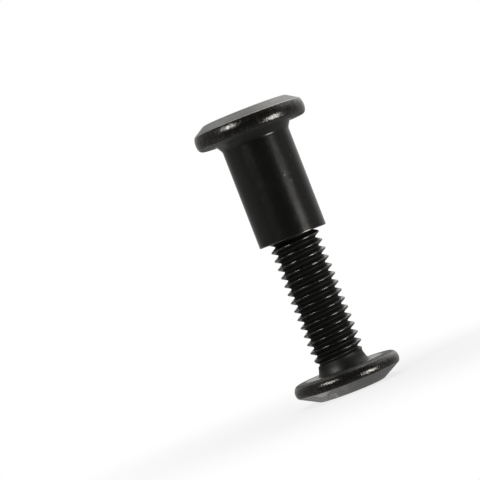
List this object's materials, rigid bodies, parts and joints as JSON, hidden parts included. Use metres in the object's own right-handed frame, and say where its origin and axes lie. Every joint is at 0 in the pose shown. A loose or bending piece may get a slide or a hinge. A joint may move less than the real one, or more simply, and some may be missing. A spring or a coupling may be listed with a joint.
{
  "type": "binding barrel screw",
  "caption": "Binding barrel screw in blackened steel: a flat-headed machine screw partly screwed into a flat-headed barrel nut.",
  "frame": {"origin": "centre of the screw head's flat outer face, on which the part stands", "axes": "+Z along the common axis, from the screw's head through the shank to the barrel nut's head; +X crosses a corner of both hexagon sockets"},
  "size_m": [0.013, 0.013, 0.0334],
  "materials": {
    "screw_steel": "satin black oxide",
    "barrel_steel": "satin black oxide"
  },
  "bodies": {
    "screw": {"screw": "screw_steel"},
    "barrel_nut": {"barrel_nut": "barrel_steel"}
  },
  "joints": [
    {"name": "screw_travel", "type": "slide", "parent": "screw", "child": "barrel_nut", "axis": [0, 0, 1], "range_m": [-0.006, 0.004]}
  ]
}
